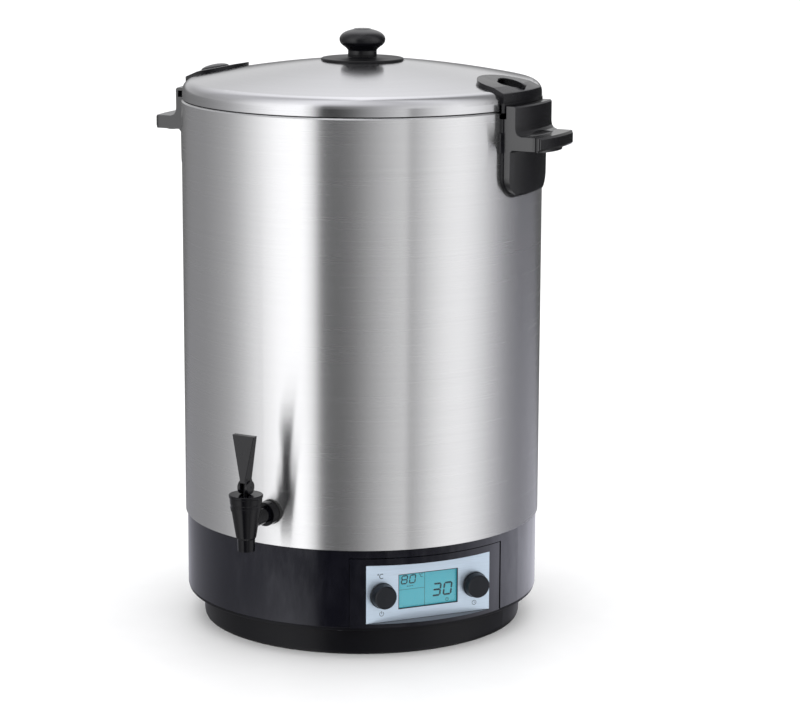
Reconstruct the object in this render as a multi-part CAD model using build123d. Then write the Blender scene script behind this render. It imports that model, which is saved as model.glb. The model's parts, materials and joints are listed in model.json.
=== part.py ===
"""Electric water bath canner: steel kettle on a heated base, lift-off lid, drain tap and controls.

Frame: +Z up, origin on the kettle axis at floor level. The tap is at azimuth 0 (-Y), the handles are
on +X and -X, and the control panel is at PANEL_AZIMUTH, counted from -Y towards +X. Millimetres.
"""
import math
import os

from build123d import *

# ---- driving dimensions -------------------------------------------------------------------
BODY_R = 175.0            # outside of the steel kettle
WALL = 0.8                # kettle sheet
SKIRT_Z = 106.5           # lower edge of the steel wall
RIM_Z = 512.0             # top of the rolled rim
FLOOR_Z = 117.0           # inside floor of the kettle

BASE_R = 173.2            # outside of the plastic base shell
BASE_WALL = 3.0
BASE_Z = 30.5             # lower edge of the base shell
FOOT_R = 157.2            # outside of the foot ring near the floor
BOTTOM_PLATE_Z = 8.8

PANEL_AZIMUTH = 52.4
PANEL_HALF = 78.6         # half width of the bezel
PANEL_TOP = 97.8
PLATE_D = 160.0           # distance of the control plate's face from the kettle axis
PLATE_HALF = 64.2
PLATE_Z = (34.5, 91.0)
WINDOW_HALF = 31.0
WINDOW_Z = (45.0, 79.0)
CONTROL_S = 48.3          # sideways place of each control knob
CONTROL_Z = 61.0
CONTROL_R = 12.4
BOARD_D = 145.6           # front face of the control board

LID_R = 174.0
LID_BAND_Z = 513.2        # lower edge of the lid's rim band
LID_EDGE_Z = 520.0        # where the band starts to round over
LID_EDGE_R = 11.0
LID_SHEET = 0.8
DOME_R = 41.0             # edge of the knob seat
DOME_Z = 549.0
DOME_BULGE = 1.8
LIP_R = 169.3             # locating lip below the rim
LIP_Z = 504.5

LUG_HALF = 41.6           # half width of a lid lug at its outer face
LUG_TIP = 129.5           # innermost point of a lid lug
LUG_T = 3.3
LUG_R = 177.0
LUG_BOTTOM = 518.2
LUG_TOP = 529.4           # crisp upper edge of its outer face
BUTTON_R = 160.0          # middle of the raised half dome on each lug

HANDLE_HALF = 39.5
LEFT_TURN = 184.0         # azimuth of the left handle and lug from the right ones
HANDLE_TOP = 517.5
HANDLE_BOTTOM = 433.0
HANDLE_WALL = (179.3, 188.2)
GRIP_R = 211.5
GRIP_Z = (476.8, 489.6)
HANDLE_SCREW_Z = (451.0, 483.0)

TAP_R = 220.0             # tap axis to kettle axis
TAP_Z = 139.0             # centre of the tap's inlet
PIN_Z = 172.6             # lever pin

RACK_R = 153.0
SIDE_TURNS = (0.0, LEFT_TURN)

BASE_ALIGN = (Align.CENTER, Align.CENTER, Align.MIN)


# ---- shared shapes ------------------------------------------------------------------------
def disc(radius, bottom, top, x=0.0, y=0.0):
    return Pos(x, y, bottom) * Cylinder(radius, top - bottom, align=BASE_ALIGN)


def ring(inner, outer, bottom, top, x=0.0, y=0.0):
    return disc(outer, bottom, top, x, y) - disc(inner, bottom, top, x, y)


def block(x, y, z):
    """Box from three (low, high) pairs."""
    size = (x[1] - x[0], y[1] - y[0], z[1] - z[0])
    return Pos((x[0] + x[1]) / 2, (y[0] + y[1]) / 2, (z[0] + z[1]) / 2) * Box(*size)


def turned(points):
    """Solid of revolution about Z from a closed outline of (radius, height) points."""
    outline = Polyline(*[(r, 0, z) for r, z in points], close=True)
    return revolve(make_face(outline), Axis.Z)


def rod_along(radius, start, end):
    """Round bar between two points."""
    line = Line(start, end)
    return extrude(Plane(origin=start, z_dir=line % 0) * Circle(radius), line.length)


def around(azimuth):
    """Turn a part made at azimuth 0 (-Y) to another azimuth."""
    return Rot(0, 0, azimuth)


def panel(s, distance, z):
    """Place in the panel's own directions: sideways, outwards, up."""
    return around(PANEL_AZIMUTH) * Pos(s, -distance, z)


def panel_block(s, distance, z):
    return around(PANEL_AZIMUTH) * block(s, (-distance[1], -distance[0]), z)


def panel_rod(radius, s, z, near, far):
    """Round bar along the panel's outward direction."""
    return panel(s, near, z) * Rot(90, 0, 0) * Cylinder(radius, far - near, align=BASE_ALIGN)


def polar(count, radius, start=0.0):
    return [
        (radius * math.sin(math.radians(start + 360 * i / count)),
         -radius * math.cos(math.radians(start + 360 * i / count)))
        for i in range(count)
    ]


def union(parts):
    first, *rest = parts
    return first.fuse(*rest) if rest else first


def group(shapes):
    return Compound(children=[s for shape in shapes for s in shape.solids()])


parts = {}


# ---- base ---------------------------------------------------------------------------------
INLET_HALF = 13.8
INLET_Z = (50.0, 70.4)
INLET_MID = (INLET_Z[0] + INLET_Z[1]) / 2
INLET_FACE_Y = BASE_R + 1.8
INLET_SCREW_X = 19.5
CASE_SCREWS = polar(6, 165.5, 22)
PLATE_SCREWS = polar(6, 149.5, 25)
BOARD_POSTS = [(x, y) for x in (-42, 42) for y in (34, 90)]
POWER_BOARD_Z = 34.0


def build_foot_ring():
    body = turned([
        (153.0, BASE_Z), (BASE_R - 0.9, BASE_Z), (BASE_R - 0.9, BASE_Z - 1.9), (BASE_R - 1.6, BASE_Z - 2.5),
        (FOOT_R + 1.4, BASE_Z - 2.5), (FOOT_R, 3.0), (FOOT_R - 0.5, 1.0), (FOOT_R - 1.0, 1.0),
        (FOOT_R - 1.0, 3.0), (FOOT_R - 3.6, 3.0), (FOOT_R - 3.6, 1.0), (153.0, 1.0),
        (153.0, 10.0), (146.0, 10.0), (146.0, 12.5), (153.0, 12.5),
    ])
    for x, y in CASE_SCREWS:
        body -= disc(1.5, BASE_Z - 4, BASE_Z + 1, x, y)
    for x, y in PLATE_SCREWS:
        body -= disc(1.5, 9, 14, x, y)
    return body


def build_bottom_plate():
    plate = disc(152.6, BOTTOM_PLATE_Z, 10.0)
    for x, y in PLATE_SCREWS:
        plate -= disc(1.5, 8, 11, x, y)
    slot = extrude(Plane.XY.offset(8) * SlotOverall(30, 4), 3)
    for row, count in ((70, 12), (115, 18)):
        for i in range(count):
            plate -= around(360 * i / count) * Pos(0, -row, 0) * Rot(0, 0, 90) * slot
    for x, y in BOARD_POSTS:
        plate += disc(3.2, 10, POWER_BOARD_Z, x, y)
    return plate


def pan_screw(x, y, bottom, top, head_r=2.9, head_h=1.9, shank_r=1.5):
    """Pan-head screw pointing up; bottom is the underside of the head's seat."""
    head = disc(head_r, bottom - head_h, bottom, x, y)
    head = fillet(head.edges().group_by(Axis.Z)[0], 0.8)
    for turn in (0, 90):
        head -= Pos(x, y, bottom - head_h + 0.4) * Rot(0, 0, turn) * Box(3.0, 0.7, 0.9)
    return head + disc(shank_r, bottom, top, x, y)


def build_base_shell():
    inner = BASE_R - BASE_WALL
    body = turned([
        (inner, BASE_Z), (BASE_R - 1.0, BASE_Z), (BASE_R, BASE_Z + 1.0), (BASE_R, SKIRT_Z + 0.1),
        (BODY_R - 1.0, SKIRT_Z + 0.5), (BODY_R - 1.0, FLOOR_Z - 3.0), (inner, FLOOR_Z - 3.0),
    ])
    for x, y in CASE_SCREWS:
        body += disc(5.0, BASE_Z, 52, x, y)
        body -= disc(1.5, BASE_Z - 1, 44, x, y)
    body -= panel_block((-PANEL_HALF - 0.6, PANEL_HALF + 0.6), (120, 190), (BASE_Z - 1, PANEL_TOP + 1.0))
    body -= block((-INLET_HALF, INLET_HALF), (140, 180), INLET_Z)
    for side in (-1, 1):
        body -= rod_along(1.6, (side * INLET_SCREW_X, 160, INLET_MID), (side * INLET_SCREW_X, 180, INLET_MID))
    return body


def build_panel_bezel():
    wedge = panel_block((-PANEL_HALF, PANEL_HALF), (150.0, 180.0), (BASE_Z, PANEL_TOP))
    body = wedge & disc(BASE_R - 0.8, 0, 120)
    body = fillet(body.edges().filter_by(Axis.Z).sort_by(lambda e: e.center().length)[-2:], 0.8)
    body -= panel_block((-PLATE_HALF - 0.3, PLATE_HALF + 0.3), (PLATE_D - 1.5, 190),
                        (PLATE_Z[0] - 0.2, PLATE_Z[1] + 0.3))
    body -= panel_block((-72, 72), (140, PLATE_D - 4.5), (PLATE_Z[0], PLATE_Z[1] + 2))
    body -= panel_block((-34.5, 34.5), (140, 190), (42.0, 82.0))
    for side in (-1, 1):
        body -= panel_rod(3.8, side * CONTROL_S, CONTROL_Z, 150, 165)
        for z in (41, 85):
            post = panel_rod(3.0, side * 59, z, BOARD_D, PLATE_D - 4.0)
            body = body + post - panel_rod(1.0, side * 59, z, BOARD_D - 1, BOARD_D + 7)
    return body


def build_control_plate():
    plate = panel_block((-PLATE_HALF, PLATE_HALF), (PLATE_D - 1.5, PLATE_D), PLATE_Z)
    plate -= panel_block((-WINDOW_HALF, WINDOW_HALF), (150, 170), WINDOW_Z)
    for side in (-1, 1):
        plate -= panel_rod(5.0, side * CONTROL_S, CONTROL_Z, 150, 170)
    return plate


def build_control_board():
    board = panel_block((-64, 64), (BOARD_D - 1.6, BOARD_D), (37.5, 88.5))
    for side in (-1, 1):
        for z in (41, 85):
            board -= panel_rod(1.0, side * 59, z, BOARD_D - 3, BOARD_D + 1)
    chips = [
        panel_block((s - w / 2, s + w / 2), (BOARD_D - 1.6 - t, BOARD_D - 1.6), (z - h / 2, z + h / 2))
        for s, z, w, h, t in ((0, 66, 14, 14, 1.6), (-24, 52, 10, 6, 1.6), (22, 50, 8, 5, 1.6), (30, 76, 20, 8, 9))
    ]
    return union([board, *chips])


def board_screw(s, z):
    head = panel_rod(2.0, s, z, BOARD_D - 3.2, BOARD_D - 1.6)
    return head + panel_rod(1.0, s, z, BOARD_D - 1.6, BOARD_D + 5)


def build_encoder(side):
    s = side * CONTROL_S
    body = panel_block((s - 6, s + 6), (BOARD_D, BOARD_D + 6.6), (CONTROL_Z - 6, CONTROL_Z + 6))
    body += panel_rod(3.6, s, CONTROL_Z, BOARD_D + 6.6, PLATE_D - 1.7)
    return body - panel_rod(3.06, s, CONTROL_Z, BOARD_D + 2.4, PLATE_D)


def build_plunger(side):
    return panel_rod(2.9, side * CONTROL_S, CONTROL_Z, BOARD_D + 3.3, BOARD_D + 4.6)


def build_control_shaft(side):
    shaft = panel_rod(3.0, side * CONTROL_S, CONTROL_Z, BOARD_D + 4.7, PLATE_D + 9.0)
    flat = panel_block((side * CONTROL_S - 4, side * CONTROL_S + 4), (PLATE_D + 1.5, PLATE_D + 12),
                       (CONTROL_Z + 1.8, CONTROL_Z + 4))
    return shaft - flat


def build_control_knob(side):
    outline = [(0, 1.4), (CONTROL_R, 1.4), (CONTROL_R, 2.6), (CONTROL_R - 0.5, 3.4), (CONTROL_R - 1.3, 10.2),
               (CONTROL_R - 2.3, 11.4), (0, 11.6)]
    knob = turned(outline) - ring(4.6, CONTROL_R - 2.6, 0, 8.5)
    shaft = disc(3.0, 0, 9.0) - block((-4, 4), (1.8, 4), (1.5, 12))
    return panel(side * CONTROL_S, PLATE_D, CONTROL_Z) * Rot(90, 0, 0) * (knob - shaft)


def build_inlet_pins():
    return [block((x - 1, x + 1), (150, 171), (INLET_MID + dz - 2, INLET_MID + dz + 2))
            for x, dz in ((-7, -2), (0, 2.5), (7, -2))]


def build_mains_inlet():
    face = block((-24, 24), (165, INLET_FACE_Y), (INLET_MID - 13, INLET_MID + 13)) - disc(BASE_R, 0, 120)
    housing = block((-INLET_HALF + 0.4, INLET_HALF - 0.4), (146, INLET_FACE_Y), (INLET_MID - 9.8, INLET_MID + 9.8))
    body = face + housing - block((-11.8, 11.8), (158, 190), (INLET_MID - 8.0, INLET_MID + 8.0))
    for side in (-1, 1):
        body -= rod_along(1.6, (side * INLET_SCREW_X, 160, INLET_MID), (side * INLET_SCREW_X, 180, INLET_MID))
    for pin in build_inlet_pins():
        body -= pin
    return body


def build_inlet_screws():
    screw = pan_screw(0, 0, 0, 8, shank_r=1.6)
    return [Pos(side * INLET_SCREW_X, INLET_FACE_Y, INLET_MID) * Rot(90, 0, 0) * screw for side in (-1, 1)]


parts["foot_ring"] = build_foot_ring()
parts["foot_gasket"] = ring(FOOT_R - 3.6, FOOT_R - 1.0, 0.0, 3.0)
parts["bottom_plate"] = build_bottom_plate()
parts["bottom_screws"] = group([pan_screw(x, y, BOTTOM_PLATE_Z, 12.4) for x, y in PLATE_SCREWS])
parts["case_screws"] = group([pan_screw(x, y, BASE_Z - 2.5, 43) for x, y in CASE_SCREWS])
parts["base_shell"] = build_base_shell()
parts["panel_bezel"] = build_panel_bezel()
parts["control_plate"] = build_control_plate()
parts["display_window"] = panel_block((-34.2, 34.2), (PLATE_D - 2.9, PLATE_D - 1.5), (42.3, 81.7))
parts["display_module"] = panel_block((-33.5, 33.5), (BOARD_D, PLATE_D - 3.0), (42.8, 81.2))
parts["control_board"] = build_control_board()
parts["board_screws"] = group([board_screw(side * 59, z) for side in (-1, 1) for z in (41, 85)])
for name, side in (("temperature", -1), ("timer", 1)):
    parts[f"{name}_encoder"] = build_encoder(side)
    parts[f"{name}_plunger"] = build_plunger(side)
    parts[f"{name}_shaft"] = build_control_shaft(side)
    parts[f"{name}_knob"] = build_control_knob(side)
parts["mains_inlet"] = build_mains_inlet()
parts["inlet_pins"] = group(build_inlet_pins())
parts["inlet_screws"] = group(build_inlet_screws())


# ---- heater -------------------------------------------------------------------------------
ELEMENT_R = 95.0
ELEMENT_TUBE = 4.0
ELEMENT_Z = 111.7
ELEMENT_END = 17.0        # half of the gap between the element's ends, degrees
TERMINAL_Z = 84.0
LEAD_START_Z = 47.0


def element_ends():
    return [(ELEMENT_R * math.sin(math.radians(180 + side * ELEMENT_END)),
             -ELEMENT_R * math.cos(math.radians(180 + side * ELEMENT_END))) for side in (-1, 1)]


def build_heating_element():
    start = 90 + ELEMENT_END
    circle = Plane.XZ * Pos(ELEMENT_R, ELEMENT_Z) * Circle(ELEMENT_TUBE)
    body = Rot(0, 0, start) * revolve(circle, Axis.Z, 360 - 2 * ELEMENT_END)
    for x, y in element_ends():
        body += disc(ELEMENT_TUBE, 92, ELEMENT_Z, x, y)
        body += Pos(x, y, ELEMENT_Z) * Sphere(ELEMENT_TUBE)
        body += block((x - 3.1, x + 3.1), (y - 0.4, y + 0.4), (TERMINAL_Z, 93))
    return body


def build_heat_spreader():
    plate = disc(125, 110.5, 116.0)
    return plate - Pos(0, 0, ELEMENT_Z) * Torus(ELEMENT_R, ELEMENT_TUBE) - ring(91, 99, 109, ELEMENT_Z)


def build_cutout_clamp():
    strap = block((-32, 32), (-7, 7), (101.5, 102.7))
    for side in (-1, 1):
        strap += block((side * 30 - 2, side * 30 + 2), (-7, 7), (101.5, 110.5))
    return strap


def build_power_board():
    top = POWER_BOARD_Z + 1.6
    board = block((-50, 50), (28, 96), (POWER_BOARD_Z, top))
    relay = block((-40, -18), (40, 60), (top, top + 15))
    choke = disc(11, top, top + 13, 8, 56)
    capacitor = block((26, 40), (42, 66), (top, top + 14))
    terminals = block((-24, 24), (78, 90), (top, LEAD_START_Z))
    return union([board, relay, choke, capacitor, terminals])


def build_lead(side):
    """Insulated heater lead from the power board's terminals up to one end of the element."""
    x, y = element_ends()[0 if side > 0 else 1]
    start = (side * 12, 84, LEAD_START_Z)
    route = FilletPolyline(start, (side * 12, 84, 62), (x, y, 70), (x, y, TERMINAL_Z), radius=4)
    return sweep(Plane(origin=route @ 0, z_dir=route % 0) * Circle(1.6), path=route)


parts["heating_element"] = build_heating_element()
parts["heat_spreader"] = build_heat_spreader()
parts["thermal_cutout"] = (disc(8.5, 102.7, 110.5)
                           + block((-3, 3), (-12, 12), (104.0, 104.8)))
parts["temperature_probe"] = disc(3.5, 102.7, 110.5, 20, 0)
parts["cutout_clamp"] = build_cutout_clamp()
parts["power_board"] = build_power_board()
parts["heater_leads"] = group([build_lead(side) for side in (-1, 1)])


# ---- kettle -------------------------------------------------------------------------------
def build_pot_wall():
    inner = BODY_R - WALL
    wall = turned([
        (BODY_R, SKIRT_Z), (BODY_R, RIM_Z - 1.4), (BODY_R - 1.4, RIM_Z), (171.8, RIM_Z), (171.0, RIM_Z - 0.8),
        (171.0, RIM_Z - 2.6), (171.6, RIM_Z - 3.2), (inner, RIM_Z - 3.2), (inner, SKIRT_Z),
    ])
    wall -= rod_along(8.3, (0, -190, TAP_Z), (0, -150, TAP_Z))
    for turn in SIDE_TURNS:
        for z in HANDLE_SCREW_Z:
            wall -= Rot(0, 0, turn) * rod_along(2.6, (160, 0, z), (180, 0, z))
    return wall


inside = BODY_R - WALL
parts["pot_wall"] = build_pot_wall()
parts["pot_floor"] = turned([
    (0, FLOOR_Z - 1.0), (inside - 1.0, FLOOR_Z - 1.0), (inside - 1.0, FLOOR_Z - 3.0),
    (inside, FLOOR_Z - 3.0), (inside, FLOOR_Z), (0, FLOOR_Z),
])


# ---- side handles -------------------------------------------------------------------------
def handle_outline(half, bottom, top, corner):
    """Prism along X with a U-shaped lower end."""
    face = Plane.YZ * Pos(0, (top + bottom) / 2) * Rectangle(2 * half, top - bottom)
    lower = face.vertices().group_by(Axis.Z)[0]
    return extrude(fillet(lower, corner), 240)


def turned_about_x(points, span=32):
    """Part of a revolution about Z that is centred on +X."""
    outline = Polyline(*[(r, 0, z) for r, z in points], close=True)
    return Rot(0, 0, -span / 2) * revolve(make_face(outline), Axis.Z, span)


def build_handle():
    low, high = GRIP_Z
    wall_in, wall_out = HANDLE_WALL
    body = turned_about_x([
        (177.2, HANDLE_BOTTOM), (181.8, HANDLE_BOTTOM), (182.9, HANDLE_BOTTOM + 1.4), (183.2, low - 2.4),
        (185.2, low), (GRIP_R - 2, low), (GRIP_R, low + 2), (GRIP_R, high - 2), (GRIP_R - 2, high),
        (wall_out + 6, high), (wall_out + 2.4, high + 1.5), (wall_out + 0.6, high + 4.2), (wall_out, high + 8),
        (wall_out, HANDLE_TOP - 1.4), (wall_out - 1.4, HANDLE_TOP), (wall_in, HANDLE_TOP), (wall_in, 505.5),
        (177.2, 505.5),
    ])
    body &= handle_outline(HANDLE_HALF, HANDLE_BOTTOM, HANDLE_TOP + 5, 17)
    corner = block((GRIP_R - 9, GRIP_R + 9), (HANDLE_HALF - 4, HANDLE_HALF + 9), (low - 4, high + 0.01))
    corner -= disc(4, low - 5, high + 1, GRIP_R - 8, HANDLE_HALF - 4)
    body -= corner
    body -= mirror(corner, Plane.XZ)
    swell = Pos(0, 0, low - 2.6) * scale(Cylinder(1, 6, align=BASE_ALIGN), (9.5, 24, 1))
    body += Pos(199.5, 0, 0) * swell
    scoop = Pos(194, -3, high + 1.2) * scale(Sphere(1), (4.6, 24, 4.0))
    body -= scoop
    notch = ring(150, wall_out - 2.2, HANDLE_TOP - 9, HANDLE_TOP - 2.7)
    body -= notch & block((150, 200), (HANDLE_HALF - 9, HANDLE_HALF + 1), (500, 520))
    for z in HANDLE_SCREW_Z:
        body -= rod_along(3.2, (176, 0, z), (182.0, 0, z))
    return body


def build_handle_spacer():
    body = turned_about_x([(BODY_R, HANDLE_BOTTOM - 3), (177.2, HANDLE_BOTTOM - 2), (177.2, 505.5),
                           (BODY_R, 505.5)], span=36)
    shape = handle_outline(HANDLE_HALF + 1.5, HANDLE_BOTTOM - 3, 507, 20)
    wing = block((150, 200), (-HANDLE_HALF - 4.5, HANDLE_HALF + 4.5), (GRIP_Z[0] - 3, GRIP_Z[1] + 3))
    body &= shape + wing
    for z in HANDLE_SCREW_Z:
        body -= rod_along(2.6, (170, 0, z), (180, 0, z))
    return body


def build_handle_screw(z):
    """Inside head, steel washer seat and shank into the handle's insert."""
    screw = pan_screw(0, 0, 0, 10.2, head_r=4.4, head_h=2.6, shank_r=2.0)
    return Pos(171.2, 0, z) * Rot(0, 90, 0) * screw


def build_handle_washer(z):
    return Pos(171.2, 0, z) * Rot(0, 90, 0) * ring(2.0, 5.6, 0, 5) & disc(inside, z - 8, z + 8)


def build_handle_insert(z):
    return Pos(177.3, 0, z) * Rot(0, 90, 0) * ring(2.0, 3.2, 0, 4.6)


def both_sides(shapes):
    return group([Rot(0, 0, turn) * shape for turn in SIDE_TURNS for shape in shapes])


handle = build_handle()
spacer = build_handle_spacer()
for name, turn in zip(("right", "left"), SIDE_TURNS):
    parts[f"{name}_handle"] = Rot(0, 0, turn) * handle
    parts[f"{name}_handle_spacer"] = Rot(0, 0, turn) * spacer
parts["handle_screws"] = both_sides([build_handle_screw(z) for z in HANDLE_SCREW_Z])
parts["handle_washers"] = both_sides([build_handle_washer(z) for z in HANDLE_SCREW_Z])
parts["handle_inserts"] = both_sides([build_handle_insert(z) for z in HANDLE_SCREW_Z])


# ---- drain tap ----------------------------------------------------------------------------
NECK_Z = (150.5, 160.0)
BONNET_TOP = 166.0
SEAT_Z = 129.0


def tap_turned(points):
    return Pos(0, -TAP_R, 0) * turned(points)


def build_tap_body():
    body = tap_turned([
        (0, 112.0), (8.0, 112.0), (8.4, 123.6), (9.4, 125.0), (9.7, 126.4), (13.6, NECK_Z[0]),
        (12.4, NECK_Z[0]), (12.4, NECK_Z[1]), (0, NECK_Z[1]),
    ])
    body += rod_along(8.0, (0, -214, TAP_Z), (0, -158, TAP_Z))
    collar = rod_along(11.4, (0, -188.5, TAP_Z), (0, -178.2, TAP_Z))
    body += fillet(collar.edges().filter_by(GeomType.CIRCLE), 1.2)
    body -= tap_turned([(0, 111), (5.4, 111), (5.4, SEAT_Z), (7.8, SEAT_Z), (10.2, NECK_Z[0]), (10.2, 161), (0, 161)])
    return body - rod_along(5.2, (0, -214, TAP_Z), (0, -157, TAP_Z))


def build_tap_bonnet():
    body = tap_turned([
        (3.1, BONNET_TOP - 3.0), (3.1, BONNET_TOP), (15.4, BONNET_TOP), (16.0, BONNET_TOP - 0.7),
        (15.9, BONNET_TOP - 2.6), (15.3, BONNET_TOP - 3.2), (14.9, 157.4), (14.5, 156.8), (14.4, 154.6),
        (14.7, 154.0), (14.2, NECK_Z[0]), (12.4, NECK_Z[0]),
        (12.4, NECK_Z[1] + 0.1), (10.2, NECK_Z[1] + 0.1), (10.2, BONNET_TOP - 3.0),
    ])
    return body


def build_tap_stem():
    rod = disc(3.0, 131.0, 176.0, 0, -TAP_R)
    flats = block((-2.6, 2.6), (-TAP_R - 4, -TAP_R + 4), (160.5, 177)) + disc(4, 130, 160.5, 0, -TAP_R)
    stem = (rod & flats) + disc(6.6, 141.6, 143.0, 0, -TAP_R)
    return stem - rod_along(1.31, (-5, -TAP_R, PIN_Z), (5, -TAP_R, PIN_Z))


def build_seat_cup():
    return tap_turned([
        (0, SEAT_Z + 0.1), (7.2, SEAT_Z + 0.1), (7.6, SEAT_Z + 1.2), (5.6, 134.5), (5.2, 140.0), (3.0, 140.0),
        (3.0, 131.0), (0, 131.0),
    ])


def build_tap_spring():
    coil = Helix(pitch=3.3, height=18.4, radius=5.0, center=(0, -TAP_R, 143.8))
    return sweep(Plane(origin=coil @ 0, z_dir=coil % 0) * Circle(0.5), path=coil, is_frenet=True)


def build_tap_lever():
    hub = rod_along(6.4, (-5.6, -TAP_R, PIN_Z), (5.6, -TAP_R, PIN_Z))
    hub = fillet(hub.edges().filter_by(GeomType.CIRCLE), 0.6)
    sections = [
        Plane.XY.offset(z) * Pos(0, -TAP_R - shift) * RectangleRounded(width, depth, 0.9)
        for z, width, depth, shift in ((PIN_Z + 2.0, 9.0, 12.6, 0), (180.0, 6.4, 12.0, 0), (222.0, 23.6, 5.6, 1.5))
    ]
    paddle = loft(sections[:2], ruled=True) + loft(sections[1:], ruled=True)
    lever = hub + paddle
    lever -= block((-2.9, 2.9), (-TAP_R - 9, -TAP_R + 9), (PIN_Z - 9, PIN_Z + 4.9))
    return lever - rod_along(1.25, (-7, -TAP_R, PIN_Z), (7, -TAP_R, PIN_Z))


def build_tap_nut():
    nut = Plane.XZ.offset(163.4) * Pos(0, TAP_Z) * RegularPolygon(13.0, 6)
    nut = extrude(nut, 7.8)
    return nut - rod_along(8.0, (0, -180, TAP_Z), (0, -150, TAP_Z))


def build_tap_gasket(radius, start, end):
    washer = rod_along(radius, (0, start, TAP_Z), (0, end, TAP_Z))
    return washer - rod_along(8.0, (0, -190, TAP_Z), (0, -150, TAP_Z))


wall_band = ring(100, inside, TAP_Z - 20, TAP_Z + 20)
outer_gasket = build_tap_gasket(11.8, -178.2, -172.0) - disc(BODY_R, TAP_Z - 20, TAP_Z + 20)
inner_gasket = build_tap_gasket(12.0, -176.0, -171.2) & wall_band
parts["tap_body"] = build_tap_body()
parts["tap_bonnet"] = build_tap_bonnet()
parts["tap_stem"] = build_tap_stem()
parts["seat_cup"] = build_seat_cup()
parts["tap_spring"] = build_tap_spring()
parts["tap_lever"] = build_tap_lever()
parts["lever_pin"] = rod_along(1.25, (-5.6, -TAP_R, PIN_Z), (5.6, -TAP_R, PIN_Z))
parts["tap_nut"] = build_tap_nut()
parts["tap_outer_gasket"] = outer_gasket
parts["tap_inner_gasket"] = inner_gasket


# ---- lid ----------------------------------------------------------------------------------
def lid_curve(offset):
    """Outline of the lid's upper side at a distance outside its sheet, from the band up to the seat."""
    radius = LID_EDGE_R + offset
    centre = (LID_R - LID_EDGE_R, LID_EDGE_Z)
    arc_end = (centre[0] + radius * math.cos(math.radians(80)), centre[1] + radius * math.sin(math.radians(80)))
    arc_mid = (centre[0] + radius * math.cos(math.radians(40)), centre[1] + radius * math.sin(math.radians(40)))
    seat = (DOME_R, DOME_Z + offset)
    dome_mid = ((arc_end[0] + seat[0]) / 2, (arc_end[1] + seat[1]) / 2 + DOME_BULGE)

    def point(p):
        return (p[0], 0, p[1])

    edge = ThreePointArc(point((LID_R + offset, LID_EDGE_Z)), point(arc_mid), point(arc_end))
    dome = ThreePointArc(point(arc_end), point(dome_mid), point(seat))
    return edge, dome


LUG_RIVETS = [(143.0, -19.0), (143.0, 19.0)]


def closed_turn(curves, points):
    """Revolve curves closed by straight runs through the listed (radius, height) points."""
    start, end = curves[-1] @ 1, curves[0] @ 0
    path = [(start.X, 0, start.Z), *[(r, 0, z) for r, z in points], (end.X, 0, end.Z)]
    return revolve(make_face([*curves, Polyline(*path)]), Axis.Z)


def build_lid_pan():
    edge, dome = lid_curve(0)
    inner_edge, inner_dome = lid_curve(-LID_SHEET)
    outer = closed_turn((edge, dome), [
        (DOME_R - 1, DOME_Z - 1.0), (0, DOME_Z - 1.0), (0, LIP_Z), (LIP_R, LIP_Z), (LIP_R, LID_BAND_Z),
        (LID_R, LID_BAND_Z)])
    hollow = closed_turn((inner_edge, inner_dome), [
        (DOME_R - 1, DOME_Z - 1.0 - LID_SHEET), (0, DOME_Z - 1.0 - LID_SHEET), (0, LIP_Z - 1),
        (LIP_R - LID_SHEET, LIP_Z - 1), (LIP_R - LID_SHEET, LID_BAND_Z + LID_SHEET),
        (LID_R - LID_SHEET, LID_BAND_Z + LID_SHEET)])
    pan = outer - hollow - disc(2.6, 540, 560)
    for turn in SIDE_TURNS:
        for x, y in LUG_RIVETS:
            pan -= Rot(0, 0, turn) * disc(1.6, 515, 545, x, y)
    return pan


def build_lug():
    """Thick lug over the lid's rounded edge: crisp outer face, scooped half-dome button, tongue below."""
    edge, dome = lid_curve(0)
    top_dome = lid_curve(LUG_T)[1]
    outline = closed_turn((top_dome,), [(DOME_R, 500), (165, 500), (165, LUG_BOTTOM), (LUG_R, LUG_BOTTOM),
                                        (LUG_R, LUG_TOP - 0.6), (LUG_R - 0.9, LUG_TOP)])
    lid_solid = closed_turn((edge, dome), [(0, DOME_Z), (0, 490), (LID_R, 490)])
    side = [(LUG_TIP + 29.5, LUG_HALF - 3.0), (LUG_TIP + 14.5, LUG_HALF - 8.6), (LUG_TIP + 4.5, LUG_HALF - 21.6)]
    rounded = Spline((178, LUG_HALF), *side, (LUG_TIP, 0), *[(x, -y) for x, y in side[::-1]], (178, -LUG_HALF))
    plan = extrude(Plane.XY.offset(500) * make_face([rounded, Line((178, -LUG_HALF), (178, LUG_HALF))]), 70)
    lug = (outline & plan) - lid_solid
    tongue = ring(175.5, 178.4, 511.2, LUG_BOTTOM + 2)
    lug += tongue & block((150, 190), (-41, 41), (500, 530))

    def on_slope(shape):
        return Pos(BUTTON_R, 0, 534.9) * Rot(0, 10.8, 0) * shape

    button = on_slope(scale(Sphere(1), (14.5, 16, 3.7))) & block((130, 180), (0, 30), (500, 560))
    scoop = on_slope(scale(Sphere(1), (12.4, 17, 2.8))) & block((130, 180), (-30, 6), (500, 560))
    lug = lug + (button - lid_solid) - scoop
    for x, y in LUG_RIVETS:
        lug -= disc(1.6, 520, 534.5, x, y)
    return lug


def build_rivet(x, y):
    return disc(1.6, 531.5, 534.5, x, y) + disc(3.2, 530.2, 531.6, x, y)


def build_knob_flange():
    outline = [(2.6, DOME_Z - 1.0), (38.6, DOME_Z - 1.0), (40.0, DOME_Z + 0.2), (40.0, DOME_Z + 1.4),
               (39.2, DOME_Z + 2.3), (15.0, DOME_Z + 2.9), (14.0, DOME_Z + 3.6), (14.0, DOME_Z + 6.0), (2.6, DOME_Z + 6.0)]
    return turned(outline)


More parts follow.
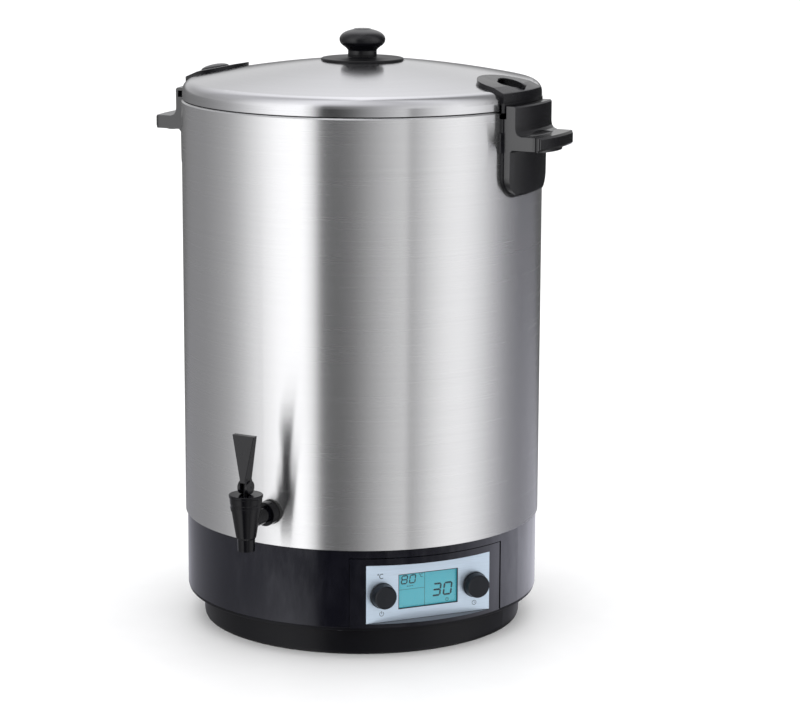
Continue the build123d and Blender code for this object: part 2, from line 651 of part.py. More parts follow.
def build_lid_knob():
    base = DOME_Z + 6.0
    side = Line((13.9, 0, base), (13.9, 0, 558.6))
    flare = Spline((13.9, 0, 558.6), (19.5, 0, 563.8), (22.1, 0, 569.2), tangents=[(0.5, 0, 1), (0, 0, 1)])
    crown = Spline((22.1, 0, 569.2), (20.6, 0, 573.2), (15.6, 0, 576.7), (8.4, 0, 579.0), (0, 0, 579.6),
                   tangents=[(0, 0, 1), (-1, 0, 0)])
    axis_line = Polyline((0, 0, 579.6), (0, 0, base), (13.9, 0, base))
    knob = revolve(make_face([side, flare, crown, axis_line]), Axis.Z)
    return knob - disc(3.4, base - 1, base + 12)


parts["lid_pan"] = build_lid_pan()
parts["lid_gasket"] = ring(LIP_R + 0.3, LID_R - 1.6, RIM_Z + 0.3, LID_BAND_Z)
parts["knob_flange"] = build_knob_flange()
parts["lid_knob"] = build_lid_knob()
parts["knob_insert"] = ring(2.4, 3.4, DOME_Z + 6.0, DOME_Z + 17.0)
knob_seat = DOME_Z - 1.0 - LID_SHEET
parts["knob_washer"] = ring(2.4, 8.0, knob_seat - 1.2, knob_seat)
parts["knob_screw"] = pan_screw(0, 0, knob_seat - 1.2, DOME_Z + 15.0, head_r=4.6, head_h=3.0, shank_r=2.4)
lug = build_lug()
parts["right_lid_lug"] = lug
parts["left_lid_lug"] = Rot(0, 0, LEFT_TURN) * lug
parts["lug_rivets"] = both_sides([build_rivet(x, y) for x, y in LUG_RIVETS])


# ---- rack ---------------------------------------------------------------------------------
def build_rack():
    """Welded rack: flat-bar rim and inner hoop, cross wires, a spine wire and three legs."""
    z = FLOOR_Z + 14
    middle = RACK_R - 2
    rim = ring(RACK_R - 4, RACK_R, z - 2, z + 2)
    hoop = ring(58.4, 61.4, z - 2, z + 2)
    wires = []
    for i in range(12):
        y = 25 * (i - 5.5)
        half = math.sqrt(middle * middle - y * y)
        wires.append(rod_along(1.5, (-half, y, z), (half, y, z)))
    spine = rod_along(1.7, (0, -middle, z - 1), (0, middle, z - 1))
    legs = [rod_along(1.7, (x, y, FLOOR_Z + 0.3), (x, y, z)) for x, y in polar(3, middle, 30)]
    return union([rim, hoop, spine, *wires, *legs])


parts["wire_rack"] = build_rack()

os.makedirs("parts", exist_ok=True)
for name, shape in parts.items():
    export_step(shape, f"parts/{name}.step")
print(len(parts), "nodes written")
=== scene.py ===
import json
import math

import bmesh
import bpy
from mathutils import Matrix, Vector


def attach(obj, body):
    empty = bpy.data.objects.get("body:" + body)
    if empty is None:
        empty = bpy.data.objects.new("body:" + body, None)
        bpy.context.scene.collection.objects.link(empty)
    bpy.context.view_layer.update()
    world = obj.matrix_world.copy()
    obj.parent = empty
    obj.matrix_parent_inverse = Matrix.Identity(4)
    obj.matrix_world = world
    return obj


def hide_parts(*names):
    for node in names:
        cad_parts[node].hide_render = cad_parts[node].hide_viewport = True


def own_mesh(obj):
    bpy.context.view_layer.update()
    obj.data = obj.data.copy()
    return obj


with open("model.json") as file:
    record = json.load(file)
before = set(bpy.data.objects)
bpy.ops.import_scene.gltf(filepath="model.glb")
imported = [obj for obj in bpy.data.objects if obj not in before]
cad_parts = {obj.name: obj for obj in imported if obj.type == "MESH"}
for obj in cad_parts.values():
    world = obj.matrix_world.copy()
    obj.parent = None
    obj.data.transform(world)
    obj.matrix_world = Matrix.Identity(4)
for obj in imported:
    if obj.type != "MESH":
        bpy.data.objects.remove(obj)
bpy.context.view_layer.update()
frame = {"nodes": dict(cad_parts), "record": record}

MM = 0.001
PANEL_AZIMUTH = math.radians(52.4)      # control panel, counted from -Y towards +X
PANEL_OUT = Vector((math.sin(PANEL_AZIMUTH), -math.cos(PANEL_AZIMUTH), 0))
PANEL_SIDE = Vector((math.cos(PANEL_AZIMUTH), math.sin(PANEL_AZIMUTH), 0))
PLATE_FACE = 160.0 * MM                 # control plate's face, from the kettle axis
DISPLAY_FACE = 157.0 * MM
WINDOW_HALF = 31.0                      # opening for the display in the plate, in mm
WINDOW_Z = (45.0, 79.0)
WALL_OUTSIDE = 175.0 * MM
WALL_INSIDE = 174.2 * MM


# ---- materials ----------------------------------------------------------------------------
finishes = {}                           # every material by name


class Finish:
    """One procedural material: a Principled shader and the nodes that feed it."""

    def __init__(self, name, **sockets):
        self.material = bpy.data.materials.new(name)
        self.material.use_nodes = True
        finishes[name] = self.material
        self.tree = self.material.node_tree
        self.shader = self.tree.nodes["Principled BSDF"]
        self.point = self.node("TexCoord").outputs["Object"]
        for socket, value in sockets.items():
            self.set(socket, value)

    def node(self, kind, inputs=(), **settings):
        made = self.tree.nodes.new("ShaderNode" + kind)
        for key, value in settings.items():
            setattr(made, key, value)
        for socket, value in dict(inputs).items():
            self.feed(made.inputs[socket], value)
        return made

    def feed(self, socket, value):
        if isinstance(value, bpy.types.NodeSocket):
            self.tree.links.new(value, socket)
        else:
            socket.default_value = value

    def set(self, name, value):
        """Roughness, Base_Color and so on: underscores stand for the spaces of a socket's name."""
        if isinstance(value, tuple) and len(value) == 3:
            value = (*value, 1.0)
        self.feed(self.shader.inputs[name.replace("_", " ")], value)

    def stretched(self, scale, turn=0.0):
        """Object coordinates turned back about Z by turn, then multiplied by scale."""
        size = tuple(1 / s for s in scale)
        return self.node("Mapping", {"Vector": self.point, "Rotation": (0, 0, turn), "Scale": size},
                         vector_type="TEXTURE").outputs[0]

    def noise(self, vector, scale=1.0, detail=2.0, rough=0.5):
        return self.node("TexNoise", {"Vector": vector, "Scale": scale, "Detail": detail,
                                      "Roughness": rough}).outputs["Fac"]

    def span(self, fac, low, high, start=0.3, end=0.7):
        """Maps start..end of a pattern to low..high."""
        return self.node("MapRange", {"Value": fac, "From Min": start, "From Max": end, "To Min": low,
                                      "To Max": high}).outputs[0]

    def tint(self, fac, dark, light, start=0.3, end=0.7):
        ramp = self.node("ValToRGB", {"Fac": fac})
        first, last = ramp.color_ramp.elements
        first.position, last.position = start, end
        first.color, last.color = (*dark, 1), (*light, 1)
        return ramp.outputs[0]

    def bump(self, height, distance, strength):
        return self.node("Bump", {"Height": height, "Distance": distance, "Strength": strength}).outputs[0]

    def math(self, operation, a, b=0.0):
        made = self.node("Math", operation=operation)
        self.feed(made.inputs[0], a)
        self.feed(made.inputs[1], b)
        return made.outputs[0]

    def radial(self, around, out, up):
        """Coordinates for marks that run round Z: coarse in azimuth, fine along the radius and Z."""
        x, y, z = self.node("SeparateXYZ", {"Vector": self.point}).outputs
        radius = self.math("SQRT", self.math("ADD", self.math("MULTIPLY", x, x), self.math("MULTIPLY", y, y)))
        fine = self.math("ADD", self.math("MULTIPLY", radius, out), self.math("MULTIPLY", z, up))
        return self.node("CombineXYZ", {"X": self.math("MULTIPLY", x, around),
                                        "Y": self.math("MULTIPLY", y, around), "Z": fine}).outputs[0]


def shades(colour, *shares):
    """The colour made darker or lighter by each share, none of its parts above 1."""
    return [tuple(min(1, part * share) for part in colour) for share in shares]


GRAIN_SHADES = (0.96, 1.03)             # darkest and lightest grain, as shares of the steel's colour
GRAIN_SHEEN = 0.006                     # how far the grain moves the roughness
GRAIN_RELIEF = 0.001 * MM
FINE_GRAIN, BROAD_GRAIN = 0.8, 0.2      # shares of the two grains
FINE_SCALE = 1400.0                     # noise cells per metre
BROAD_SCALE = 0.13 * FINE_SCALE


def spun_steel(name, colour, rough, out, up, spread=0.9):
    """Sheet steel brushed round the kettle axis: fine rings over a softer band pattern.

    out and up say how much of the grain's spacing lies along the radius and along Z."""
    finish = Finish(name, Metallic=1.0, Anisotropic=spread, Anisotropic_Rotation=0.25)
    tangent = finish.node("Tangent", direction_type="RADIAL", axis="Z").outputs[0]
    finish.set("Tangent", tangent)
    fine = finish.noise(finish.radial(5, FINE_SCALE * out, FINE_SCALE * up), detail=4, rough=0.7)
    broad = finish.noise(finish.radial(2, BROAD_SCALE * out, BROAD_SCALE * up), detail=3, rough=0.6)
    both = finish.math("ADD", finish.math("MULTIPLY", fine, FINE_GRAIN), finish.math("MULTIPLY", broad, BROAD_GRAIN))
    finish.set("Base_Color", finish.tint(both, *shades(colour, *GRAIN_SHADES)))
    finish.set("Roughness", finish.span(both, rough - GRAIN_SHEEN, rough + GRAIN_SHEEN))
    finish.set("Normal", finish.bump(fine, GRAIN_RELIEF, 0.5))


def moulded(name, colour, rough, grain, depth, spread=0.06, specular=0.5):
    """Moulded plastic or rubber: a fine grain, and slow changes of sheen over the surface."""
    finish = Finish(name, Specular_IOR_Level=specular)
    fine = finish.noise(finish.point, grain, 3, 0.6)
    slow = finish.noise(finish.point, 22.0, 3, 0.6)
    finish.set("Base_Color", finish.tint(slow, *shades(colour, 0.85, 1.2)))
    finish.set("Roughness", finish.span(slow, rough - spread, rough + spread))
    finish.set("Normal", finish.bump(fine, depth * MM, 0.6))


def gloss_moulded(name, colour, rough):
    """Polished plastic: nearly mirror smooth, with faint flow waves and wiped-dust streaks."""
    finish = Finish(name, IOR=1.5, Specular_Tint=(0.93, 0.94, 1.0))
    waves = finish.noise(finish.point, 38.0, 2, 0.5)
    dust = finish.noise(finish.stretched((60, 60, 18)), 1.0, 4, 0.7)
    finish.set("Base_Color", finish.tint(dust, colour, tuple(c * 1.5 + 0.001 for c in colour), 0.45, 0.8))
    finish.set("Roughness", finish.span(dust, rough - 0.03, rough + 0.07, 0.4, 0.8))
    finish.set("Normal", finish.bump(waves, 0.05 * MM, 0.35))


def machined(name, colour, rough, metallic=1.0, grain=2600.0, turn=0.0, stretch=(1, 1, 1), depth=0.006):
    """Drawn, turned or brushed metal: its grain runs along the axis with the smallest stretch."""
    finish = Finish(name, Metallic=metallic)
    lines = finish.noise(finish.stretched(stretch, turn), grain, 3, 0.6)
    slow = finish.noise(finish.point, 40.0, 3, 0.6)
    finish.set("Base_Color", finish.tint(lines, *shades(colour, 0.92, 1.06)))
    finish.set("Roughness", finish.span(slow, rough - 0.05, rough + 0.05))
    finish.set("Normal", finish.bump(lines, depth * MM, 0.5))


def board_finish(name):
    """Solder mask with copper tracks showing through as a lighter, raised net."""
    finish = Finish(name, Roughness=0.35)
    cells = finish.node("TexVoronoi", {"Vector": finish.stretched((1, 1, 1), PANEL_AZIMUTH), "Scale": 170.0},
                        distance="MANHATTAN").outputs["Distance"]
    finish.set("Base_Color", finish.tint(cells, (0.006, 0.07, 0.028), (0.012, 0.13, 0.05), 0.35, 0.45))
    finish.set("Normal", finish.bump(cells, 0.03 * MM, 0.4))


def window_finish(name):
    """Clear window with a slight haze."""
    finish = Finish(name, Transmission_Weight=1.0, IOR=1.46, Base_Color=(0.93, 0.99, 1.0))
    haze = finish.noise(finish.point, 90.0, 3, 0.6)
    finish.set("Roughness", finish.span(haze, 0.0, 0.035))


LIT_Z = (43.0 * MM, 81.0 * MM)          # bottom and top of the lit area


def display_finish(name):
    """Lit liquid crystal panel: pale green-blue, a little darker towards its top."""
    finish = Finish(name, Roughness=0.25, Emission_Strength=0.32)
    z = finish.node("SeparateXYZ", {"Vector": finish.point}).outputs["Z"]
    glow = finish.span(z, 0.0, 1.0, *LIT_Z)
    dots = finish.noise(finish.point, 1500.0, 1, 0.5)
    shade = finish.math("ADD", glow, finish.math("MULTIPLY", finish.math("SUBTRACT", dots, 0.5), 0.25))
    colour = finish.tint(shade, (0.105, 0.51, 0.60), (0.085, 0.46, 0.55), 0.0, 1.0)
    finish.set("Base_Color", colour)
    finish.set("Emission_Color", colour)


BLACK = (0.0035, 0.0035, 0.005)
STEEL = (0.66, 0.66, 0.665)
spun_steel("wall_steel", STEEL, rough=0.27, out=0.0, up=1.0, spread=1.0)
spun_steel("floor_steel", STEEL, rough=0.36, out=1.0, up=0.5)
spun_steel("lid_steel", (0.575, 0.575, 0.588), rough=0.17, out=1.0, up=0.62, spread=0.45)
machined("satin_stainless", (0.62, 0.62, 0.63), rough=0.30)
machined("plated_steel", (0.60, 0.61, 0.64), rough=0.34, grain=900.0)
gloss_moulded("gloss_black_plastic", (0.003, 0.003, 0.0055), rough=0.12)
moulded("satin_black_plastic", BLACK, rough=0.25, grain=2400.0, depth=0.015, specular=0.40)
moulded("handle_black", BLACK, rough=0.20, grain=2400.0, depth=0.012, specular=0.85, spread=0.04)
moulded("tap_black", (0.002, 0.002, 0.003), rough=0.17, grain=2400.0, depth=0.008, specular=0.20)
moulded("flange_black", (0.004, 0.004, 0.005), rough=0.45, grain=2400.0, depth=0.015, specular=0.25)
moulded("foot_black", (0.002, 0.002, 0.0035), rough=0.34, grain=2400.0, depth=0.012, specular=0.16)
moulded("control_black", (0.003, 0.0045, 0.008), rough=0.36, grain=3000.0, depth=0.012, specular=0.28)
moulded("black_rubber", (0.014, 0.014, 0.014), rough=0.72, grain=1500.0, depth=0.03)
moulded("silicone", (0.42, 0.40, 0.37), rough=0.5, grain=1200.0, depth=0.01)
machined("brushed_aluminium", (0.56, 0.66, 0.77), rough=0.36, metallic=0.75, grain=420.0, turn=PANEL_AZIMUTH,
         stretch=(0.12, 1, 5))
window_finish("clear_window")
display_finish("display_green")
board_finish("circuit_board")
machined("blackened_steel", (0.035, 0.035, 0.04), rough=0.42)
machined("brass", (0.75, 0.56, 0.27), rough=0.32)
moulded("lead_insulation", (0.42, 0.035, 0.025), rough=0.5, grain=1800.0, depth=0.01)
machined("weld_bead", (0.55, 0.55, 0.56), rough=0.38, grain=1600.0, stretch=(1, 1, 0.3), depth=0.012)
moulded("segment_ink", (0.006, 0.040, 0.055), rough=0.5, grain=2000.0, depth=0.004, specular=0.2)
# black ink for the printed marks, also used for the painted shade that lines the display opening
moulded("print_and_shade_black", (0.003, 0.012, 0.020), rough=0.5, grain=2000.0, depth=0.004)
# nodes whose finish differs from the one named by their slot
NODE_FINISH = {
    "pot_wall": "wall_steel", "pot_floor": "floor_steel", "lid_pan": "lid_steel",
    "temperature_knob": "control_black", "timer_knob": "control_black",
    "case_screws": "blackened_steel", "foot_ring": "foot_black", "knob_flange": "flange_black",
    "right_handle": "handle_black", "left_handle": "handle_black", "tap_body": "tap_black", "tap_bonnet": "tap_black",
    "tap_nut": "tap_black", "tap_stem": "tap_black", "lever_pin": "blackened_steel",
}
slot_of = {row["node"]: row["material_slot"] for row in frame["record"]["subparts"]}
for node, obj in frame["nodes"].items():
    finish = finishes[NODE_FINISH.get(node, slot_of[node])]
    obj.data.materials.clear()
    obj.data.materials.append(finish)


# ---- printed marks and display figures ----------------------------------------------------
def on_panel(s, z, out):
    return PANEL_OUT * out + PANEL_SIDE * s + Vector((0, 0, z))


def prism(mesh, outline, out, thick):
    """A flat closed plate on the panel: outline is (s, z) in metres, counter-clockwise from outside."""
    back = [mesh.verts.new(on_panel(s, z, out)) for s, z in outline]
    front = [mesh.verts.new(on_panel(s, z, out + thick)) for s, z in outline]
    mesh.faces.new(front)
    mesh.faces.new(back[::-1])
    for i in range(len(outline)):
        j = (i + 1) % len(outline)
        mesh.faces.new((back[i], back[j], front[j], front[i]))


def bar(mesh, start, end, width, out, thick):
    """A straight bar with pointed ends."""
    a, b = Vector(start), Vector(end)
    along = (b - a).normalized()
    side = Vector((-along.y, along.x)) * width / 2
    tip = along * width / 2
    points = [a, a + tip - side, b - tip - side, b, b - tip + side, a + tip + side]
    prism(mesh, [tuple(p) for p in points], out, thick)


def arc(mesh, s, z, radius, width, start, end, out, thick, steps=28):
    """A band of a circle; angles in degrees, counter-clockwise from the panel's right."""
    for i in range(steps):
        a, b = (math.radians(start + (end - start) * k / steps) for k in (i, i + 1))
        quad = [(s + r * math.cos(t), z + r * math.sin(t))
                for r, t in ((radius, a), (radius + width, a), (radius + width, b), (radius, b))]
        prism(mesh, quad, out, thick)


SEGMENTS = {"0": "abcdef", "3": "abcdg", "8": "abcdefg"}
SLANT = 0.13            # sideways lean of a figure for its height
STROKE = 0.15           # a segment's width for the figure's height
SEGMENT_GAP = 0.08      # gap at each end of a segment, for its width


def digit(mesh, figure, s, z, width, height, out, thick):
    """A seven-segment figure with its lower left corner at (s, z)."""
    stroke = height * STROKE
    gap = stroke * SEGMENT_GAP
    corners = {"tl": (0, height), "tr": (width, height), "ml": (0, height / 2), "mr": (width, height / 2),
               "bl": (0, 0), "br": (width, 0)}
    ends = {"a": ("tl", "tr"), "b": ("mr", "tr"), "c": ("br", "mr"), "d": ("bl", "br"), "e": ("bl", "ml"),
            "f": ("ml", "tl"), "g": ("ml", "mr")}
    for name in SEGMENTS[figure]:
        a, b = (Vector(corners[k]) for k in ends[name])
        along = (b - a).normalized() * gap
        a, b = a + along, b - along
        bar(mesh, (s + a.x + SLANT * a.y, z + a.y), (s + b.x + SLANT * b.y, z + b.y), stroke, out, thick)


def add_piece(name, mesh, finish, body):
    """Turns a finished bmesh into a piece that rides on a body."""
    bmesh.ops.remove_doubles(mesh, verts=mesh.verts, dist=1e-7)
    bmesh.ops.recalc_face_normals(mesh, faces=mesh.faces)
    data = bpy.data.meshes.new(name)
    mesh.to_mesh(data)
    mesh.free()
    data.materials.append(finishes[finish])
    piece = bpy.data.objects.new(name, data)
    bpy.context.scene.collection.objects.link(piece)
    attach(piece, body)
    return piece


def celsius(mesh, s, z, size, out, thick):
    """The degree Celsius symbol."""
    arc(mesh, s - size * 0.55, z + size * 0.36, size * 0.07, size * 0.09, 0, 360, out, thick, 16)
    arc(mesh, s + size * 0.12, z, size * 0.34, size * 0.13, 50, 310, out, thick, 24)


def clock(mesh, s, z, radius, line, up, across, width, out, thick):
    """A clock face, sizes in mm: a ring and two hands, each from its start to its end past the centre."""
    arc(mesh, s * MM, z * MM, radius * MM, line * MM, 0, 360, out, thick)
    for start, end in (((s, z + up[0]), (s, z + up[1])), ((s + across[0], z), (s + across[1], z))):
        bar(mesh, (start[0] * MM, start[1] * MM), (end[0] * MM, end[1] * MM), width * MM, out, thick)


FIGURE_GAP, FIGURE_THICK = 0.02 * MM, 0.04 * MM     # the figures float just in front of the display
PRINT_THICK = 0.03 * MM
# figures, their places along the panel and their lower edge, width and height, in mm
TEMPERATURE = ((("8", -27.0), ("0", -18.6)), 68.8, 5.6, 7.6)
MINUTES = ((("3", 5.4), ("0", 16.8)), 53.6, 7.6, 11.4)
DIVIDERS = (((-2.7, 45.0), (-2.7, 79.0)), ((-30.4, 63.0), (-3.2, 63.0)))
DIVIDER_HALF = 0.16 * MM
DASHES, DASH_HALF, DASH_Z, DASH_WIDTH = (-20.4, -18.0, -15.6), 0.9, 66.0, 0.7
KNOB_S = 48.3                           # the knobs stand this far from the panel's middle, in mm
SYMBOL_Z = 42.6                         # the symbols below them


def build_display():
    """Figures, dividing lines and a small clock on the lit display."""
    mesh = bmesh.new()
    out, thick = DISPLAY_FACE + FIGURE_GAP, FIGURE_THICK
    for figures, z, width, height in (TEMPERATURE, MINUTES):
        for figure, s in figures:
            digit(mesh, figure, s * MM, z * MM, width * MM, height * MM, out, thick)
    celsius(mesh, -6.2 * MM, 75.2 * MM, 3.6 * MM, out, thick)
    half = DIVIDER_HALF
    for (s0, z0), (s1, z1) in DIVIDERS:
        prism(mesh, [(s0 * MM - half, z0 * MM - half), (s1 * MM + half, z0 * MM - half),
                     (s1 * MM + half, z1 * MM + half), (s0 * MM - half, z1 * MM + half)], out, thick)
    for s in DASHES:
        start, end = (((s + side * DASH_HALF) * MM, DASH_Z * MM) for side in (-1, 1))
        bar(mesh, start, end, DASH_WIDTH * MM, out, thick)
    clock(mesh, 20.8, 48.6, 1.3, 0.35, (-0.3, 1.1), (-0.2, 0.9), 0.3, out, thick)
    add_piece("display_figures", mesh, "segment_ink", "canner")


def build_symbols():
    """Printed on the plate: degrees Celsius over the left knob, on and off below it, a clock below the right one."""
    mesh = bmesh.new()
    out, thick = PLATE_FACE, PRINT_THICK
    celsius(mesh, -48.9 * MM, 79.4 * MM, 5.4 * MM, out, thick)
    radius, line = 1.9, 0.45
    arc(mesh, -KNOB_S * MM, SYMBOL_Z * MM, radius * MM, line * MM, 118, 422, out, thick)
    bar(mesh, (-KNOB_S * MM, SYMBOL_Z * MM), (-KNOB_S * MM, (SYMBOL_Z + 2.8) * MM), 0.5 * MM, out, thick)
    clock(mesh, KNOB_S, SYMBOL_Z, radius, line, (-0.2, 1.6), (-0.2, 1.3), 0.4, out, thick)
    add_piece("panel_symbols", mesh, "print_and_shade_black", "canner")


RECESS_SHADE_DEPTHS = (1.48, 0.25)             # back and front of the dark frame of painted shade, behind the plate's face, in mm
RECESS_SHADE_INSETS = (0.02, 0.75)             # its outer and inner edge, inside the opening


def build_display_recess_shade():
    """Dark frame between the display window and the cut edge of the control plate: painted shade of the recessed
    opening, where the kettle has no such part.
    """
    mesh = bmesh.new()
    low, high = (PLATE_FACE - depth * MM for depth in RECESS_SHADE_DEPTHS)
    outer, inner = RECESS_SHADE_INSETS
    loops = []
    for inset, out in ((outer, low), (outer, high), (inner, high), (inner, low)):
        half, bottom, top = (WINDOW_HALF - inset) * MM, (WINDOW_Z[0] + inset) * MM, (WINDOW_Z[1] - inset) * MM
        corners = ((-half, bottom), (half, bottom), (half, top), (-half, top))
        loops.append([mesh.verts.new(on_panel(s, z, out)) for s, z in corners])
    for k, loop in enumerate(loops):
        following = loops[(k + 1) % 4]
        for i in range(4):
            j = (i + 1) % 4
            mesh.faces.new((loop[i], loop[j], following[j], following[i]))
    add_piece("display_recess_shade", mesh, "print_and_shade_black", "canner")


def curved_strip(mesh, turn, half, radius, proud, bottom, top, steps=6):
    """A shallow strip on the round wall, fullest along its middle: turn and half width in degrees."""
    columns = []
    for i in range(steps + 1):
        angle = math.radians(turn - half + 2 * half * i / steps)
        face = radius + proud * math.sin(math.pi * (0.15 + 0.7 * i / steps))
        corners = ((radius, bottom), (face, bottom), (face, top), (radius, top))
        columns.append([mesh.verts.new((r * math.sin(angle), -r * math.cos(angle), z)) for r, z in corners])
    mesh.faces.new(columns[0])
    mesh.faces.new(columns[-1][::-1])
    for left, right in zip(columns, columns[1:]):
        for k in range(4):
            mesh.faces.new((left[k], left[(k + 1) % 4], right[(k + 1) % 4], right[k]))


SUNK = 0.05 * MM                        # how far the seam and the marks reach into the wall
SEAM_TURN, SEAM_HALF, SEAM_PROUD = 180, 0.35, 0.2 * MM
SEAM_Z = (107.2 * MM, 508.0 * MM)
MARK_TURN, MARK_PROUD, MARK_HEIGHT = 24, 0.3 * MM, 1.2 * MM
MARKS, LOWEST_MARK, MARK_STEP = 9, 200, 30      # how many, and the heights in mm
LONG_MARK, SHORT_MARK = 5.0, 2.6        # half widths in degrees


def build_seam():
    """Planished weld seam down the back of the kettle wall."""
    mesh = bmesh.new()
    curved_strip(mesh, SEAM_TURN, SEAM_HALF, WALL_OUTSIDE - SUNK, SEAM_PROUD, *SEAM_Z)
    add_piece("wall_seam", mesh, "weld_bead", "canner")


def build_level_marks():
    """Pressed filling marks on the inside of the wall, long and short in turn."""
    mesh = bmesh.new()
    for k in range(MARKS):
        low = (LOWEST_MARK + MARK_STEP * k) * MM
        half = LONG_MARK if k % 2 == 0 else SHORT_MARK
        curved_strip(mesh, MARK_TURN, half, WALL_INSIDE + SUNK, -MARK_PROUD, low, low + MARK_HEIGHT, steps=10)
    add_piece("level_marks", mesh, "weld_bead", "canner")


def build_spring():
    """The tap's valve spring as its own piece with a mesh of its own, in place of the tap_spring node; on the kettle
    it closes up under the bonnet as the stem rises, and this script leaves its shape as it is.
    """
    node = "tap_spring"
    mesh = bmesh.new()
    mesh.from_mesh(frame["nodes"][node].data)
    spring = add_piece("valve_spring", mesh, slot_of[node], "canner")
    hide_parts(node)
    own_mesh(spring)


build_display()
build_symbols()
build_display_recess_shade()
build_seam()
build_level_marks()
build_spring()


# ---- stage --------------------------------------------------------------------------------
CAMERA_AT = Vector((1.2817, -2.2971, 0.7938))
CAMERA_FORWARD = Vector((-0.4652, 0.8624, -0.1995))
CAMERA_ROLL = math.radians(0.23)
LENS, SENSOR = 122.33, 36.0             # mm
CLIP = (0.05, 200)


def build_camera():
    data = bpy.data.cameras.new("camera")
    data.lens, data.sensor_width = LENS, SENSOR
    data.clip_start, data.clip_end = CLIP
    camera = bpy.data.objects.new("camera", data)
    back = -CAMERA_FORWARD.normalized()
    right = Vector((0, 0, 1)).cross(back).normalized()
    up = back.cross(right)
    c, s = math.cos(CAMERA_ROLL), math.sin(CAMERA_ROLL)
    right, up = right * c + up * s, up * c - right * s
    camera.matrix_world = Matrix.Translation(CAMERA_AT) @ Matrix((right, up, back)).transposed().to_4x4()
    bpy.context.scene.collection.objects.link(camera)
    bpy.context.scene.camera = camera


FLOOR_RADIUS = 40.0
FLOOR_Z = -0.2 * MM


def build_floor():
    """A wide white table that shiny pieces don't mirror: they see the tent below the horizon instead."""
    mesh = bmesh.new()
    bmesh.ops.create_circle(mesh, cap_ends=True, radius=FLOOR_RADIUS, segments=96)
    data = bpy.data.meshes.new("floor")
    mesh.to_mesh(data)
    mesh.free()
    finish = Finish("floor", Roughness=0.5, Specular_IOR_Level=0.3)
    mottle = finish.noise(finish.point, 9.0, 3, 0.6)
    finish.set("Base_Color", finish.tint(mottle, (0.90, 0.90, 0.905), (0.93, 0.93, 0.935)))
    data.materials.append(finish.material)
    floor = bpy.data.objects.new("floor", data)
    floor.location.z = FLOOR_Z
    floor.visible_glossy = False
    bpy.context.scene.collection.objects.link(floor)


# Softboxes and gaps round the set: heading from the camera's side in degrees, then brightness.
TENT = [
    (-180, 0.16), (-160, 0.16), (-146, 0.24), (-118, 0.33), (-105, 0.43), (-93, 0.58), (-83, 0.80), (-73, 1.12),
    (-64, 1.42), (-55, 1.72), (-38, 1.78), (-31.5, 1.20), (-26, 0.06), (-15, 0.09), (-7, 0.19),
    (0, 0.35), (8, 0.55), (16, 0.74), (28, 1.02), (30.5, 0.40), (39, 0.74), (47, 1.07), (56, 1.33),
    (65, 1.40), (74, 1.30), (84, 1.00), (94, 0.62), (106, 0.26), (120, 0.06), (146, 0.05), (160, 0.12), (180, 0.16),
]
TENT_TINT = (1.0, 1.0, 1.005)
# The same set a little above the horizon, where a lit wall closes its back.
TENT_HIGH = [
    (-180, 0.80), (-165, 0.70), (-150, 0.55), (-120, 0.45), (-93, 0.62), (-64, 1.45), (-38, 1.80), (-31, 1.15),
    (-25, 0.15), (0, 0.40), (27, 0.88), (47, 1.05), (65, 1.30), (84, 0.90), (100, 0.20), (128, 0.12), (150, 0.45),
    (168, 0.86), (180, 0.80),
]
TENT_HIGH_TINT = (1.0, 1.0, 1.01)
TENT_HIGH_RISE = (0.03, 0.12)           # it takes over between these heights of a unit direction
# What polished plastic sees in a narrow band just below the horizon.
TABLE_EDGE = [
    (-180, 0.60), (-118, 0.48), (-100, 0.40), (-70, 0.46), (-45, 0.36), (-31, 0.16), (-24, 0.06), (-10, 0.02),
    (25, 0.02), (60, 0.30), (80, 1.20), (100, 2.00), (140, 1.60), (180, 0.60),
]
TABLE_EDGE_TINT = (0.95, 0.95, 1.06)
TABLE_EDGE_RISE = -0.27
TABLE_EDGE_HALF = 0.06
# Overhead boxes, with dimmer gaps between them.
TENT_TOP = [
    (-180, 1.60), (-150, 1.20), (-125, 0.75), (-95, 0.80), (-50, 1.30), (-10, 1.05), (35, 0.78), (70, 1.15),
    (105, 0.40), (130, 0.40), (155, 1.20), (180, 1.60),
]
TENT_TOP_TINT = (1.0, 1.0, 1.03)
TENT_TOP_RISE = (0.30, 0.75)
BRIGHTEST = 2.0                         # the tent's strength, so that its colours stay within 1
SOFT_LIGHT = 1.4                        # even light for everything but reflections


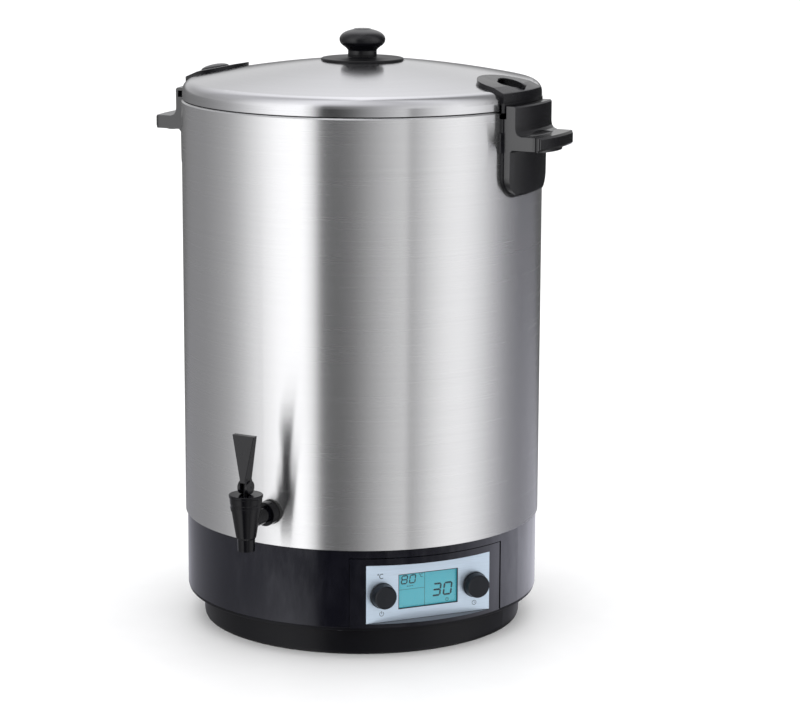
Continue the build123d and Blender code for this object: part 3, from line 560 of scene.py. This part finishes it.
def build_world():
    """A plain bright surround, and the tent of softboxes that only reflections see."""
    world = bpy.data.worlds.new("studio")
    bpy.context.scene.world = world
    world.use_nodes = True
    world.cycles.sampling_method = "NONE"   # so that metal sees the softboxes only along its own reflections
    tree = world.node_tree
    tree.nodes.clear()

    def node(kind, inputs=(), **settings):
        made = tree.nodes.new("ShaderNode" + kind)
        for key, value in settings.items():
            setattr(made, key, value)
        for socket, value in dict(inputs).items():
            if isinstance(value, bpy.types.NodeSocket):
                tree.links.new(value, made.inputs[socket])
            else:
                made.inputs[socket].default_value = value
        return made

    direction = node("TexCoord").outputs["Generated"]
    heading = math.atan2(CAMERA_AT.x, -CAMERA_AT.y)
    turned = node("Mapping", {"Vector": direction, "Rotation": (0, 0, heading)},
                  vector_type="TEXTURE").outputs[0]
    x, y, z = node("SeparateXYZ", {"Vector": turned}).outputs
    front = node("Math", {0: y, 1: -1.0}, operation="MULTIPLY").outputs[0]
    angle = node("Math", {0: x, 1: front}, operation="ARCTAN2").outputs[0]
    share = node("MapRange", {"Value": angle, "From Min": -math.pi, "From Max": math.pi}).outputs[0]

    def headings(levels, tint):
        ramp = node("ValToRGB", {"Fac": share})
        stops = ramp.color_ramp.elements
        while len(stops) < len(levels):
            stops.new(0.5)
        for stop, (degrees, level) in zip(stops, levels):
            stop.position = (degrees + 180) / 360
        for stop, (degrees, level) in zip(stops, levels):
            stop.color = (*(level / BRIGHTEST * part for part in tint), 1)
        return ramp.outputs[0]

    def above(rise):
        return node("MapRange", {"Value": z, "From Min": rise[0], "From Max": rise[1]}).outputs[0]

    def mix(amount, first, second):
        return node("MixRGB", {"Fac": amount, "Color1": first, "Color2": second}).outputs[0]

    tent = mix(above(TENT_HIGH_RISE), headings(TENT, TENT_TINT), headings(TENT_HIGH, TENT_HIGH_TINT))
    tent = mix(above(TENT_TOP_RISE), tent, headings(TENT_TOP, TENT_TOP_TINT))
    off = node("Math", {0: z, 1: TABLE_EDGE_RISE}, operation="SUBTRACT").outputs[0]
    off = node("Math", {0: off}, operation="ABSOLUTE").outputs[0]
    low = node("MapRange", {"Value": off, "From Min": 0.0, "From Max": TABLE_EDGE_HALF, "To Min": 1.0,
                            "To Max": 0.0}, interpolation_type="SMOOTHSTEP").outputs[0]
    tent = mix(low, tent, headings(TABLE_EDGE, TABLE_EDGE_TINT))
    seen = node("Background", {"Color": tent, "Strength": BRIGHTEST}).outputs[0]
    soft = node("Background", {"Color": (1.0, 1.0, 1.0, 1), "Strength": SOFT_LIGHT}).outputs[0]
    rays = node("LightPath")
    glossy = node("MixShader", {"Fac": rays.outputs["Is Glossy Ray"], 1: soft, 2: seen}).outputs[0]
    node("OutputWorld", {"Surface": glossy})


build_camera()
build_floor()
build_world()
bpy.context.scene.view_settings.view_transform = "Standard"
